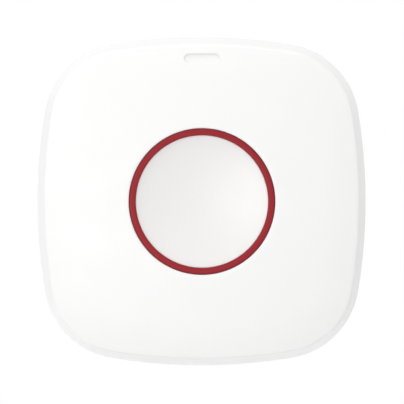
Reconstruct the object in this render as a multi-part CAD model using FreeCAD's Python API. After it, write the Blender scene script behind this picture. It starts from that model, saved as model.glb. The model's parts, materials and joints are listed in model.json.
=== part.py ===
import FreeCAD, Part
import math
import os

# A wall-mounted wireless panic button: a crowned, rounded-square housing with a large
# dished push button in a coloured ring, a slot window for an indicator lamp, a circuit
# board with a tactile switch and a coin cell, and a wall plate that the unit hangs on.
#
# Every piece is modelled lying on its back, in millimetres: +X is right, +Y is up the
# wall and +Z comes out of the wall towards the person. The wall is the plane Z = 0 and
# the button's axis is the line X = Y = 0. stand_up turns each piece so that +Z is up
# and the front faces -Y.

Vector = FreeCAD.Vector
OUT = Vector(0, 0, 1)

# Housing, seen from the front
housing_half_width = 31.0
side_bow_radius = 111.6
corner_radius = 15.5
side_flare = 1.5
crease_chamfer = 0.3
cover_wall = 1.8

# Housing, in depth
wall_gap = 0.3
crown_radius = 240.0

# Button and its ring
button_bore_radius = 13.85
ring_clearance = 0.1
ring_width = 1.25
ring_rise = 2.44
ring_sink = 0.05
ring_edge_chamfer = 0.2
bore_mouth_chamfer = 0.2
cap_fit = 0.03
cap_sink = 0.42
cap_dish_depth = 1.3
cap_edge_chamfer = 0.2
button_travel = 0.6
stop_gap = 0.05
over_travel = 0.1
flange_width = 1.6
flange_thickness = 0.8
flange_drop = 0.1
carrier_floor = 1.1
anti_turn_rib_width = 2.6
anti_turn_rib_gap = 0.25
anti_turn_rib_step = 0.45
anti_turn_ribs = 3
cap_hooks = 3
cap_hook_radius = 9.8
cap_hook_width = 3.0
cap_hook_thickness = 1.0
cap_hook_barb = 0.4
cap_hook_root = 0.5
cap_hook_slot_gap = 0.15
cap_hook_barb_height = 0.5
cap_hook_gap = 0.02
actuator_radius = 2.2
actuator_height = 0.48

# Guide collar of the button, inside the front cover
collar_wall = 1.75

# Indicator window
window_edge_distance = 4.1
window_length = 6.6
window_width = 1.7
window_sink = 0.35
window_gap = 0.06
light_pipe_width = 4.6
light_pipe_height = 1.3
light_flange_length = 9.2
light_flange_thickness = 0.8
light_flange_drop = 0.12
light_wall_gap = 0.1
light_side_gap = 0.05
light_pipe_drop = 0.26
light_gap = 0.3

# Wall plate and the hooks that the unit hangs on
wall_plate_thickness = 2.0
wall_plate_inset = 6.2
wall_plate_edge_chamfer = 0.4
wall_screw_hole_radius = 2.1
wall_screw_half_spacing = 18.0
wall_screw_head_radius = 4.2
wall_screw_head_height = 2.4
unit_gap = 0.2
release_travel = 3.5
hook_side_offset = 12.0
upper_hook_height = 14.5
lower_hook_height = -19.0
hook_width = 6.0
hook_stem_thickness = 1.4
hook_lip_thickness = 1.1
hook_lip_reach = 3.0
hook_slot_gap = 0.3
hook_rest_gap = 0.1
hook_lip_gap = 0.2
hook_tip_chamfer = 0.6

# Rear cover
rear_wall = 1.5
rear_cover_fit = 0.15
rear_rim_height = 2.5
rear_rim_width = 1.2
screw_pocket_wall = 1.0

# Ledges that the rear cover snaps behind, and stops that its rim comes up against
ledge_offset = 11.0
ledge_width = 7.0
ledge_height = 0.9
ledge_reach = 0.9
ledge_gap = 0.1
stop_reach = 0.85
stop_width = 1.5
stop_offset = 10.0

# Coin cell, a standard size: 20 mm across and 3.2 mm thick
coin_cell_radius = 10.0
coin_cell_thickness = 3.2
coin_cell_sink = 0.9
coin_cell_edge_chamfer = 0.25
coin_cell_cap_radius = 8.3
coin_cell_cap_height = 0.25
bay_clearance = 0.25
bay_wall = 1.2
bay_board_gap = 0.3
bay_nib_reach = 0.5
bay_nib_width = 3.0
bay_nib_angle = 35.0
bay_nib_gap = 0.1
contact_notch_width = 5.8
contact_notch_reach = 2.0

# Circuit board
board_cell_gap = 0.6
board_thickness = 1.2
board_inset = 3.6

# Board screws, through the board and the inner frame into two posts
screw_hole_gap = 0.2
thread_gap = 0.02
board_screw_margin = 3.9
board_screw_radius = 1.0
board_screw_length = 7.5
board_screw_head_radius = 1.9
board_screw_head_height = 1.3
board_post_radius = 2.5
boss_pilot_depth = 1.5

# Inner frame, the cup between the board and the button
frame_lift = 1.5
frame_floor = 1.2
frame_rim_wall = 1.4
frame_centre_hole_radius = 5.2
frame_spigot_height = 1.0
frame_ear_half_width = 3.0
frame_foot_width = 2.4
frame_foot_offset = 14.2

# Return spring
spring_coil_radius = 7.5
spring_wire = 0.5
spring_turns = 2.5
spring_seat_gap = 0.04
spring_spigot_gap = 0.4
carrier_spigot_wall = 1.4
carrier_spigot_height = 1.1

# Tactile switch
switch_side = 6.0
switch_corner_chamfer = 0.7
switch_body_height = 3.1
switch_plate_thickness = 0.3
switch_cavity_radius = 2.6
switch_cavity_floor = 1.3
switch_dome_radius = 2.4
switch_dome_rise = 0.55
switch_dome_thickness = 0.12
plunger_gap = 0.02
plunger_rise = 2.2
plunger_stem_radius = 1.65
plunger_hole_clearance = 0.15
plunger_flange_radius = 2.3
plunger_flange_top_gap = 0.1
plunger_flange_thickness = 0.6
plunger_nub_radius = 0.8
terminal_width = 0.7
terminal_thickness = 0.2
terminal_spacing = 4.5
terminal_height = 0.9
terminal_shoulder = 0.5
terminal_foot = 0.8
terminal_lean = 0.15

# Battery contacts
contact_thickness = 0.2
contact_width = 5.0
contact_press_gap = 0.05
contact_bow = 0.5
contact_foot_reach = 4.5
contact_hook_reach = 0.8
negative_half_length = 7.0
negative_arch_half_length = 5.0
negative_crest_half_length = 1.2
negative_contact_gap = 0.02

# Indicator lamp
lamp_length = 2.0
lamp_width = 1.25
lamp_body_height = 0.4
lamp_lens_height = 0.4
lamp_lens_margin = 0.2
lamp_drop = 0.4

# Chips and the other small pieces on the board
chip_height = 0.9
chip_bevel = 0.1
radio_chip_side = 5.0
shield_length = 14.0
shield_height = 2.0
shield_sheet = 0.25
shield_bevel = 0.5
shield_margin = 1.3
shield_frame_gap = 1.5
controller_side = 5.0
controller_gap = 0.95
crystal_length = 7.0
crystal_width = 3.4
crystal_height = 2.2
crystal_edge_chamfer = 0.3
crystal_side_gap = 5.5
crystal_rise = 1.4
antenna_margin = 4.2
antenna_width = 2.4
antenna_sheet = 0.3
antenna_half_length = 8.0
antenna_lift = 4.2
antenna_foot = 1.2
antenna_feed_place = -4.0
reservoir_length = 7.3
reservoir_width = 4.3
reservoir_height = 2.8
reservoir_bevel = 0.3
reservoir_side_gap = 5.85
reservoir_rise = 0.6
capacitor_count = 4
capacitor_spacing = 2.2
capacitor_side_gap = 6.0
capacitor_drop = 1.9
capacitor_length = 2.0
capacitor_width = 1.25
capacitor_height = 0.8

# Stiffening ribs of the front cover
rib_thickness = 1.0
rib_step = 0.3

# How far cutting blocks run past what they cut, and how near an edge is to a place
cut_margin = 1.0
edge_tolerance = 0.01

# Depths, stacked from the wall out to the button
unit_back = wall_plate_thickness + unit_gap
rear_cover_front = unit_back + rear_wall
rear_rim_front = rear_cover_front + rear_rim_height
coin_cell_back = wall_plate_thickness + coin_cell_sink
coin_cell_front = coin_cell_back + coin_cell_thickness
board_back = coin_cell_front + board_cell_gap
board_front = board_back + board_thickness
frame_floor_back = board_front + frame_lift
frame_floor_front = frame_floor_back + frame_floor
switch_plate_back = board_front + switch_body_height
switch_plate_front = switch_plate_back + switch_plate_thickness
plunger_front = switch_plate_front + plunger_rise
actuator_end = plunger_front + plunger_gap
carrier_floor_back = actuator_end + actuator_height
carrier_floor_front = carrier_floor_back + carrier_floor
flange_front = carrier_floor_back - flange_drop
flange_back = flange_front - flange_thickness
frame_rim_front = flange_back - button_travel - over_travel
collar_back = flange_front + stop_gap
rib_back = collar_back + rib_step
ring_front = carrier_floor_front + ring_rise
cap_rim_front = ring_front - cap_sink
lamp_front = board_front + lamp_body_height + lamp_lens_height

# The crowned front meets the bore just in front of the ring
crown_centre = ring_front + ring_sink - math.sqrt(crown_radius ** 2 - button_bore_radius ** 2)
housing_depth = crown_centre + crown_radius
crease_half_width = housing_half_width - side_flare
crease_depth = crown_centre + math.sqrt(crown_radius ** 2 - crease_half_width ** 2)
flare_slope = side_flare / (crease_depth - wall_gap)

# Radii of the button, from the bore inwards and outwards
ring_outer_radius = button_bore_radius - ring_clearance
ring_inner_radius = ring_outer_radius - ring_width
cap_radius = ring_inner_radius - cap_fit
flange_radius = ring_outer_radius + flange_width
collar_radius = button_bore_radius + collar_wall
spigot_radius = spring_coil_radius - spring_wire / 2 - spring_spigot_gap

# Places on the face and on the board
window_place = housing_half_width - window_edge_distance
lamp_place = window_place - lamp_drop
board_half_width = housing_half_width - board_inset
board_screw_place = collar_radius + board_screw_margin
shield_outer_side = board_half_width - shield_margin
shield_inner_side = collar_radius + shield_frame_gap
shield_width = shield_outer_side - shield_inner_side
shield_place = -(shield_outer_side + shield_inner_side) / 2


def crown_height(distance):
    """Depth of the housing's front surface at a distance from the button's axis."""
    return crown_centre + math.sqrt(crown_radius ** 2 - distance ** 2)


def stand_up(shape):
    """Turns a piece from lying on its back to standing against the wall, front to -Y."""
    shape.rotate(Vector(0, 0, 0), Vector(1, 0, 0), 90)
    return shape


def rounded_square(inset, depth):
    """The housing's outline moved in by inset: four bowed sides and four corner arcs."""
    half = housing_half_width - inset
    side = side_bow_radius - inset
    corner = corner_radius - inset
    side_centre = half - side
    reach = (side_centre + math.sqrt(2 * (side - corner) ** 2 - side_centre ** 2)) / 2
    meeting_angle = math.atan2(reach, reach - side_centre)
    meeting_x = side_centre + side * math.cos(meeting_angle)
    meeting_y = side * math.sin(meeting_angle)
    diagonal = reach + corner * math.sqrt(0.5)
    side_arc = Part.Arc(Vector(meeting_x, -meeting_y, depth), Vector(half, 0, depth),
                        Vector(meeting_x, meeting_y, depth)).toShape()
    corner_arc = Part.Arc(Vector(meeting_x, meeting_y, depth), Vector(diagonal, diagonal, depth),
                          Vector(meeting_y, meeting_x, depth)).toShape()
    edges = []
    for quarter in range(4):
        for arc in (side_arc, corner_arc):
            turned = arc.copy()
            turned.rotate(Vector(0, 0, 0), OUT, 90 * quarter)
            edges.append(turned)
    return Part.Wire(edges)


def straight_block(inset, low, high):
    """A block with the rounded-square outline and upright sides."""
    face = Part.Face(rounded_square(inset, low))
    return face.extrude(Vector(0, 0, high - low))


def flared_block(inset, low, high):
    """A block whose sides follow the housing's flare, inset from its outer surface."""
    low_outline = rounded_square(inset + flare_slope * (low - wall_gap), low)
    high_outline = rounded_square(inset + flare_slope * (high - wall_gap), high)
    return Part.makeLoft([low_outline, high_outline], True, True)


def side_on_ball(radius, centre_depth):
    """A ball on the button's axis, with its poles at the sides and not on the axis."""
    ball = Part.makeSphere(radius)
    ball.rotate(Vector(0, 0, 0), Vector(0, 1, 0), 90)
    ball.translate(Vector(0, 0, centre_depth))
    return ball


def crown_ball(offset):
    """The ball whose surface is the crowned front, moved in by offset."""
    return side_on_ball(crown_radius - offset, crown_centre)


def cylinder(radius, low, high, x=0.0, y=0.0):
    """An upright cylinder between two depths."""
    return Part.makeCylinder(radius, high - low, Vector(x, y, low))


def tube(outer, inner, low, high, x=0.0, y=0.0):
    """A cylinder with a bore."""
    return cylinder(outer, low, high, x, y).cut(cylinder(inner, low, high, x, y))


def block(width, height, low, high, x=0.0, y=0.0):
    """A box centred on x and y between two depths."""
    return Part.makeBox(width, height, high - low, Vector(x - width / 2, y - height / 2, low))


def slot_block(length, width, low, high, x=0.0, y=0.0, upright=False):
    """A block with two straight sides and two full-radius ends."""
    straight = (length - width) / 2
    radius = width / 2
    corners = [Vector(-straight, -radius, 0), Vector(straight, -radius, 0),
               Vector(straight, radius, 0), Vector(-straight, radius, 0)]
    right_end = Part.Arc(corners[1], Vector(straight + radius, 0, 0), corners[2]).toShape()
    left_end = Part.Arc(corners[3], Vector(-straight - radius, 0, 0), corners[0]).toShape()
    bottom = Part.makeLine(corners[0], corners[1])
    top = Part.makeLine(corners[2], corners[3])
    shape = Part.Face(Part.Wire([bottom, right_end, top, left_end])).extrude(OUT * (high - low))
    if upright:
        shape.rotate(Vector(0, 0, 0), OUT, 90)
    shape.translate(Vector(x, y, low))
    return shape


def turned(profile):
    """A solid turned about the button's axis from edges in the X-Z plane."""
    return Part.Face(Part.Wire(profile)).revolve(Vector(0, 0, 0), OUT, 360)


def polyline(points):
    """Edges through points given as distance from the axis and depth."""
    corners = [Vector(distance, 0, depth) for distance, depth in points]
    return [Part.makeLine(start, end) for start, end in zip(corners, corners[1:])]


def around(shape, count, first_angle=0.0):
    """Copies of a shape at even angles about the button's axis."""
    copies = []
    for number in range(count):
        copy = shape.copy()
        copy.rotate(Vector(0, 0, 0), OUT, first_angle + 360.0 / count * number)
        copies.append(copy)
    return copies


def bent_strip(points, thickness, width):
    """A strip of sheet bent along points in the X-Z plane, with its width along Y."""
    path = Part.makePolygon([Vector(x, 0, depth) for x, depth in points])
    section = path.makeOffset2D(thickness, 2, True, True)
    strip = section.extrude(Vector(0, width, 0))
    strip.translate(Vector(0, -width / 2, 0))
    return strip


def edges_above(shape, depth):
    """Edges that lie wholly in front of a depth."""
    return [edge for edge in shape.Edges if edge.BoundBox.ZMin > depth]


def circle_edges(shape, radius, depth):
    """Circular edges of one radius about the button's axis, at one depth."""
    found = []
    for edge in shape.Edges:
        curve = edge.Curve
        if isinstance(curve, Part.Circle) and abs(curve.Radius - radius) < edge_tolerance:
            if abs(curve.Center.z - depth) < edge_tolerance:
                found.append(edge)
    return found


def screw(radius, length, head_radius, head_height, seat, x, y):
    """A pan-head screw pointing out of the wall, its head behind the seat."""
    head = cylinder(head_radius, seat - head_height, seat, x, y)
    return head.fuse(cylinder(radius, seat, seat + length, x, y))


def front_cover():
    """The white shell: crowned front, flared side, button bore with its guide collar,
    indicator slot, board posts, ribs and the ledges that hold the rear cover."""
    outside = flared_block(0, wall_gap, housing_depth + cut_margin).common(crown_ball(0))
    outside = outside.makeChamfer(crease_chamfer, edges_above(outside, housing_depth / 2))
    hollow = flared_block(cover_wall, wall_gap - cut_margin, housing_depth).common(crown_ball(cover_wall))
    shell = outside.cut(hollow)

    # Everything that stands behind the front wall ends inside that wall
    inner_pieces = [cylinder(collar_radius, collar_back, housing_depth)]
    for y in (-board_screw_place, board_screw_place):
        inner_pieces.append(cylinder(board_post_radius, frame_floor_front, housing_depth, 0, y))
    inner_pieces += front_cover_ribs() + cover_stops()
    inside = inner_pieces[0].multiFuse(inner_pieces[1:])
    inside = inside.common(crown_ball(cover_wall / 2)).common(flared_block(cover_wall / 2, 0, housing_depth))
    shell = shell.fuse(inside)

    shell = shell.cut(cylinder(button_bore_radius, 0, housing_depth))
    shell = shell.fuse(anti_turn_rib_ring())
    shell = shell.multiFuse(cover_ledges())
    mouth = circle_edges(shell, button_bore_radius, crown_height(button_bore_radius))
    shell = shell.makeChamfer(bore_mouth_chamfer, mouth)

    slot_back = crown_height(window_place) - 2 * cover_wall
    slot = slot_block(window_length, window_width, slot_back, housing_depth, 0, window_place)
    shell = shell.cut(slot)
    for y in (-board_screw_place, board_screw_place):
        pilot_end = board_back + board_screw_length + boss_pilot_depth
        shell = shell.cut(cylinder(board_screw_radius + thread_gap, frame_floor_front, pilot_end, 0, y))
    return shell.removeSplitter()


def front_cover_ribs():
    """Ribs from the guide collar to the side walls and to the board posts."""
    ribs = []
    collar_middle = button_bore_radius + collar_wall / 2
    for side in (-1, 1):
        length = housing_half_width - collar_middle
        centre = side * (collar_middle + length / 2)
        ribs.append(block(length, rib_thickness, rib_back, housing_depth, centre, 0))
        length = board_screw_place - collar_middle
        centre = side * (collar_middle + length / 2)
        ribs.append(block(rib_thickness, length, rib_back, housing_depth, 0, centre))
    return ribs


def anti_turn_rib_ring():
    """Three short ribs on the collar's back end that stand in the carrier's notches."""
    rib_end = frame_rim_front + anti_turn_rib_gap
    ring = tube(collar_radius, button_bore_radius + anti_turn_rib_step, rib_end, collar_back)
    reach = collar_radius + cut_margin
    sector = block(reach, anti_turn_rib_width, rib_end, collar_back, reach / 2, 0)
    sectors = around(sector, anti_turn_ribs, 90)
    return ring.common(sectors[0].multiFuse(sectors[1:]))


def cover_ledges():
    """Four ledges on the shell's upper and lower inside walls, behind the rear cover."""
    front = unit_back - ledge_gap
    back = front - ledge_height
    wall = cover_wall + flare_slope * (back - wall_gap)
    height = ledge_reach + wall
    centre = housing_half_width - height / 2
    inside = flared_block(cover_wall / 2, 0, housing_depth)
    ledges = []
    for x in (-ledge_offset, ledge_offset):
        for side in (-1, 1):
            ledge = block(ledge_width, height, back, front, x, side * centre)
            ledges.append(ledge.common(inside))
    return ledges


def cover_stops():
    """Four upright ribs on the shell's left and right walls, in front of the rear cover's rim."""
    wall = cover_wall + flare_slope * (rear_rim_front - wall_gap)
    width = stop_reach + wall
    centre = housing_half_width - width / 2
    return [block(width, stop_width, rear_rim_front, housing_depth, side * centre, y)
            for side in (-1, 1) for y in (-stop_offset, stop_offset)]


def button_carrier():
    """The red moulding: the ring on show, its skirt and stop flange, the floor that
    carries the cap, the spigot for the spring and the post that pushes the switch."""
    edge = ring_edge_chamfer
    carrier = turned(polyline([
        (0, carrier_floor_front), (ring_inner_radius, carrier_floor_front),
        (ring_inner_radius, ring_front), (ring_outer_radius - edge, ring_front),
        (ring_outer_radius, ring_front - edge), (ring_outer_radius, flange_front),
        (flange_radius, flange_front), (flange_radius, flange_back),
        (ring_inner_radius, flange_back), (ring_inner_radius, carrier_floor_back),
        (0, carrier_floor_back), (0, carrier_floor_front)]))
    carrier = carrier.fuse(tube(spigot_radius, spigot_radius - carrier_spigot_wall,
                                carrier_floor_back - carrier_spigot_height, carrier_floor_back))
    carrier = carrier.fuse(cylinder(actuator_radius, actuator_end, carrier_floor_back))

    notch_width = anti_turn_rib_width + 2 * anti_turn_rib_gap
    notch = block(flange_radius, notch_width, flange_back, flange_front,
                  ring_outer_radius + anti_turn_rib_gap + flange_radius / 2, 0)
    for cut in around(notch, anti_turn_ribs, 90):
        carrier = carrier.cut(cut)
    slot = block(cap_hook_thickness + cap_hook_barb + 2 * cap_hook_slot_gap,
                 cap_hook_width + 2 * cap_hook_slot_gap, carrier_floor_back, carrier_floor_front,
                 cap_hook_radius + cap_hook_barb / 2, 0)
    for cut in around(slot, cap_hooks, 30):
        carrier = carrier.cut(cut)
    return carrier.removeSplitter()


def button_cap():
    """The white dished cap, with three snap hooks through the carrier."""
    edge = cap_edge_chamfer
    dish_edge = cap_radius - edge
    dish_radius = (dish_edge ** 2 + cap_dish_depth ** 2) / (2 * cap_dish_depth)
    cap = turned(polyline([
        (0, cap_rim_front), (dish_edge, cap_rim_front), (cap_radius, cap_rim_front - edge),
        (cap_radius, carrier_floor_front), (0, carrier_floor_front), (0, cap_rim_front)]))
    cap = cap.cut(side_on_ball(dish_radius, cap_rim_front - cap_dish_depth + dish_radius))

    barb_top = carrier_floor_back - cap_hook_gap
    hook_end = barb_top - cap_hook_barb_height
    hook_root = carrier_floor_front + cap_hook_root
    stem = block(cap_hook_thickness, cap_hook_width, hook_end, hook_root, cap_hook_radius, 0)
    barb_inner = cap_hook_radius + cap_hook_thickness / 2
    barb_corners = [Vector(barb_inner, -cap_hook_width / 2, barb_top),
                    Vector(barb_inner + cap_hook_barb, -cap_hook_width / 2, barb_top),
                    Vector(barb_inner, -cap_hook_width / 2, hook_end)]
    barb = Part.Face(Part.makePolygon(barb_corners + barb_corners[:1]))
    barb = barb.extrude(Vector(0, cap_hook_width, 0))
    hook = stem.fuse(barb)
    return cap.multiFuse(around(hook, cap_hooks, 30)).removeSplitter()


def light_window():
    """The clear indicator window: its head in the slot, a flange behind the front wall
    and a light pipe down to the lamp."""
    head_front = crown_height(window_place) - window_sink
    wall_inside = crown_height(window_place + window_width / 2) - cover_wall - light_wall_gap
    head = slot_block(window_length - 2 * window_gap, window_width - 2 * window_gap,
                      wall_inside - light_flange_thickness, head_front, 0, window_place)
    flange = slot_block(light_flange_length, window_width - 2 * window_gap,
                        wall_inside - light_flange_thickness, wall_inside, 0,
                        window_place - light_flange_drop)
    pipe = block(light_pipe_width, light_pipe_height, lamp_front + light_gap, wall_inside,
                 0, window_place - light_pipe_drop)
    inside = flared_block(cover_wall + light_side_gap, wall_gap, housing_depth)
    window = head.fuse(flange.common(inside)).fuse(pipe.common(inside))
    return window.removeSplitter()


def wall_plate():
    """The plate on the wall, with two screw holes and four hooks that point up."""
    plate = straight_block(wall_plate_inset, 0, wall_plate_thickness)
    plate = plate.makeChamfer(wall_plate_edge_chamfer,
                              edges_above(plate, wall_plate_thickness - edge_tolerance))
    for x in (-wall_screw_half_spacing, wall_screw_half_spacing):
        plate = plate.cut(cylinder(wall_screw_hole_radius, 0, wall_plate_thickness, x, 0))
    hooks = [wall_hook(x, y) for x in (-hook_side_offset, hook_side_offset)
             for y in (upper_hook_height, lower_hook_height)]
    return plate.multiFuse(hooks).removeSplitter()


def wall_hook(x, y):
    """One hook: a stem out of the plate and a lip that points up, with a sloped tip."""
    lip_back = rear_cover_front + hook_lip_gap
    lip_front = lip_back + hook_lip_thickness
    stem_top = y + hook_stem_thickness
    tip = stem_top + hook_lip_reach
    outline = [(y, wall_plate_thickness), (y, lip_front), (tip, lip_front),
               (tip, lip_back + hook_tip_chamfer), (tip - hook_tip_chamfer, lip_back),
               (stem_top, lip_back), (stem_top, wall_plate_thickness)]
    corners = [Vector(x - hook_width / 2, height, depth) for height, depth in outline]
    return Part.Face(Part.makePolygon(corners + corners[:1])).extrude(Vector(hook_width, 0, 0))


def rear_cover():
    """The cover snapped into the shell's back: hook slots, pockets over the wall
    screws and the battery bay."""
    fit = cover_wall + rear_cover_fit
    cover = flared_block(fit, unit_back, rear_cover_front)
    rim = flared_block(fit, rear_cover_front, rear_rim_front)
    rim = rim.cut(flared_block(fit + rear_rim_width, rear_cover_front, rear_rim_front))
    bay_outer = coin_cell_radius + bay_clearance + bay_wall
    bay = cylinder(bay_outer, unit_back, board_back - bay_board_gap)
    added = [rim, bay]
    pocket_front = wall_plate_thickness + wall_screw_head_height + unit_gap
    pocket_radius = wall_screw_head_radius + unit_gap
    pocket_length = 2 * pocket_radius + release_travel
    for x in (-wall_screw_half_spacing, wall_screw_half_spacing):
        added.append(slot_block(pocket_length + 2 * screw_pocket_wall,
                                2 * (pocket_radius + screw_pocket_wall), unit_back,
                                pocket_front + screw_pocket_wall, x, -release_travel / 2, True))
    cover = cover.multiFuse(added)

    for x in (-wall_screw_half_spacing, wall_screw_half_spacing):
        cover = cover.cut(slot_block(pocket_length, 2 * pocket_radius, unit_back, pocket_front,
                                     x, -release_travel / 2, True))
    for x in (-hook_side_offset, hook_side_offset):
        for y in (upper_hook_height, lower_hook_height):
            cover = cover.cut(hook_slot(x, y))
    cover = cover.cut(cylinder(coin_cell_radius + bay_clearance, unit_back, board_back))
    notch = block(contact_notch_width, bay_wall + 2 * contact_notch_reach, unit_back, board_back,
                  0, coin_cell_radius + bay_clearance + bay_wall / 2)
    cover = cover.cut(notch)
    return cover.multiFuse(bay_nibs()).removeSplitter()


def hook_slot(x, y):
    """The slot that one hook passes through when the unit is lifted off."""
    low = y - release_travel - hook_slot_gap
    high = y + hook_stem_thickness + hook_rest_gap
    width = hook_width + 2 * hook_slot_gap
    return block(width, high - low, unit_back, rear_cover_front, x, (low + high) / 2)


def bay_nibs():
    """Two nibs that hold the coin cell's lower edge in the battery bay."""
    nib_front = coin_cell_back - bay_nib_gap
    reach = bay_nib_reach + bay_clearance + bay_wall / 2
    inner = coin_cell_radius - bay_nib_reach
    nib = block(reach, bay_nib_width, unit_back, nib_front, inner + reach / 2, 0)
    nibs = []
    for angle in (-90 - bay_nib_angle, -90 + bay_nib_angle):
        copy = nib.copy()
        copy.rotate(Vector(0, 0, 0), OUT, angle)
        nibs.append(copy)
    return nibs


def coin_cell():
    """The cell: a can with a bevelled edge towards the wall and a smaller cap in front."""
    shoulder = coin_cell_front - coin_cell_cap_height
    edge = coin_cell_edge_chamfer
    return turned(polyline([
        (0, coin_cell_back), (coin_cell_radius - edge, coin_cell_back),
        (coin_cell_radius, coin_cell_back + edge), (coin_cell_radius, shoulder),
        (coin_cell_cap_radius + coin_cell_cap_height, shoulder),
        (coin_cell_cap_radius, coin_cell_front), (0, coin_cell_front), (0, coin_cell_back)]))


def circuit_board():
    """The board, drilled for its two screws."""
    board = straight_block(board_inset, board_back, board_front)
    for y in (-board_screw_place, board_screw_place):
        hole = cylinder(board_screw_radius + screw_hole_gap, board_back, board_front, 0, y)
        board = board.cut(hole)
    return board


def inner_frame():
    """The cup behind the button: feet on the board, a spigot that centres the spring,
    a rim that stops the button, and two ears under the board posts."""
    rim_radius = collar_radius
    frame = cylinder(rim_radius, frame_floor_back, frame_floor_front)
    added = [tube(rim_radius, rim_radius - frame_rim_wall, frame_floor_front, frame_rim_front)]
    added.append(cylinder(spigot_radius, frame_floor_front, frame_floor_front + frame_spigot_height))
    for side in (-1, 1):
        ear_height = side * board_screw_place
        added.append(block(2 * frame_ear_half_width, board_screw_place, frame_floor_back,
                           frame_floor_front, 0, ear_height / 2))
        added.append(block(2 * frame_ear_half_width, 2 * frame_ear_half_width, board_front,
                           frame_floor_front, 0, ear_height))
        added.append(block(frame_foot_width, frame_foot_width, board_front, frame_floor_back,
                           side * frame_foot_offset, 0))
    frame = frame.multiFuse(added)
    frame = frame.cut(cylinder(frame_centre_hole_radius, board_front, frame_rim_front))
    for side in (-1, 1):
        frame = frame.cut(cylinder(board_screw_radius + screw_hole_gap, board_front,
                                   frame_floor_front, 0, side * board_screw_place))
    return frame.removeSplitter()


def return_spring():
    """The coil spring between the inner frame and the carrier's floor, wound of
    square wire."""
    half_wire = spring_wire / 2
    low = frame_floor_front + half_wire + spring_seat_gap
    high = carrier_floor_back - half_wire - spring_seat_gap
    helix = Part.makeHelix((high - low) / spring_turns, high - low, spring_coil_radius)
    corners = [Vector(spring_coil_radius + across, 0, along)
               for across, along in ((-half_wire, -half_wire), (half_wire, -half_wire),
                                     (half_wire, half_wire), (-half_wire, half_wire))]
    section = Part.makePolygon(corners + corners[:1])
    spring = Part.Wire(helix.Edges).makePipeShell([section], True, True)
    spring.translate(Vector(0, 0, low))
    return spring


def switch_base():
    """The switch's moulded base, with the round cavity for the dome and plunger."""
    base = block(switch_side, switch_side, board_front, switch_plate_back)
    corners = [edge for edge in base.Edges if edge.BoundBox.ZLength > switch_body_height / 2]
    base = base.makeChamfer(switch_corner_chamfer, corners)
    cavity_floor = board_front + switch_cavity_floor
    return base.cut(cylinder(switch_cavity_radius, cavity_floor, switch_plate_back))


def switch_cover_plate():
    """The thin steel plate that keeps the plunger in the switch."""
    plate = block(switch_side, switch_side, switch_plate_back, switch_plate_front)
    corners = [edge for edge in plate.Edges if edge.BoundBox.ZLength > switch_plate_thickness / 2]
    plate = plate.makeChamfer(switch_corner_chamfer, corners)
    return plate.cut(cylinder(plunger_stem_radius + plunger_hole_clearance,
                              switch_plate_back, switch_plate_front))


def switch_dome():
    """The snap dome: a thin shallow cap of spring steel on the cavity's floor."""
    floor = board_front + switch_cavity_floor
    rise = switch_dome_rise
    ball_radius = (switch_dome_radius ** 2 + rise ** 2) / (2 * rise)
    centre = floor + rise - ball_radius
    cup = side_on_ball(ball_radius, centre).cut(side_on_ball(ball_radius - switch_dome_thickness, centre))
    return cup.common(cylinder(switch_dome_radius, floor, floor + rise))


def switch_plunger():
    """The plunger: a stem through the cover plate, a flange under it and a nub behind."""
    flange_top = switch_plate_back - plunger_flange_top_gap
    flange_low = flange_top - plunger_flange_thickness
    nub_low = board_front + switch_cavity_floor + button_travel + stop_gap
    plunger = cylinder(plunger_stem_radius, flange_low, plunger_front)
    flange = cylinder(plunger_flange_radius, flange_low, flange_top)
    nub = cylinder(plunger_nub_radius, nub_low, flange_low)
    return plunger.fuse(flange).fuse(nub).removeSplitter()


def switch_terminals():
    """Four gull-wing legs that carry the switch's contacts to the board."""
    side = switch_side / 2
    height = board_front + terminal_height
    path = [(side, height), (side + terminal_shoulder, height),
            (side + terminal_shoulder + terminal_lean, board_front),
            (side + terminal_shoulder + terminal_foot, board_front)]
    leg = bent_strip(path, terminal_thickness, terminal_width)
    legs = []
    for turn in (0, 180):
        for offset in (-terminal_spacing / 2, terminal_spacing / 2):
            copy = leg.copy()
            copy.translate(Vector(0, offset, 0))
            copy.rotate(Vector(0, 0, 0), OUT, turn)
            legs.append(copy)
    return Part.Compound(legs)


def indicator_led():
    """The small surface-mounted lamp under the light pipe: a body and a bevelled lens."""
    body = block(lamp_length, lamp_width, board_front, board_front + lamp_body_height, 0, lamp_place)
    lens_length = lamp_length - 2 * lamp_lens_margin
    lens_width = lamp_width - 2 * lamp_lens_margin
    lens_low = board_front + lamp_body_height
    lens = block(lens_length, lens_width, lens_low, lamp_front, 0, lamp_place)
    lens = lens.makeChamfer(lamp_lens_height / 2, edges_above(lens, lamp_front - edge_tolerance))
    return body.fuse(lens).removeSplitter()


def chip(length, width, height, bevel, x, y):
    """A moulded chip with bevelled upper edges."""
    body = block(length, width, board_front, board_front + height, x, y)
    return body.makeChamfer(bevel, edges_above(body, board_front + height - edge_tolerance))


def bevelled_block(width, length, bevel, low, high, x, y):
    """A block whose upright and front edges are bevelled."""
    body = block(width, length, low, high, x, y)
    return body.makeChamfer(bevel, [edge for edge in body.Edges if edge.BoundBox.ZMax > low + bevel])


def radio_shield():
    """The pressed tin can over the radio chip, open towards the board."""
    can_front = board_front + shield_height
    can = bevelled_block(shield_width, shield_length, shield_bevel, board_front, can_front, shield_place, 0)
    inside = bevelled_block(shield_width - 2 * shield_sheet, shield_length - 2 * shield_sheet,
                            shield_bevel, board_front, can_front - shield_sheet, shield_place, 0)
    return can.cut(inside)


def radio_chip():
    """The radio chip under the shield."""
    return chip(radio_chip_side, radio_chip_side, chip_height, chip_bevel, shield_place, 0)


def microcontroller():
    """The controller chip, beside the inner frame."""
    place = -(collar_radius + controller_gap) * math.sqrt(0.5) - controller_side / 2
    return chip(controller_side, controller_side, chip_height, chip_bevel, place, place)


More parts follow.
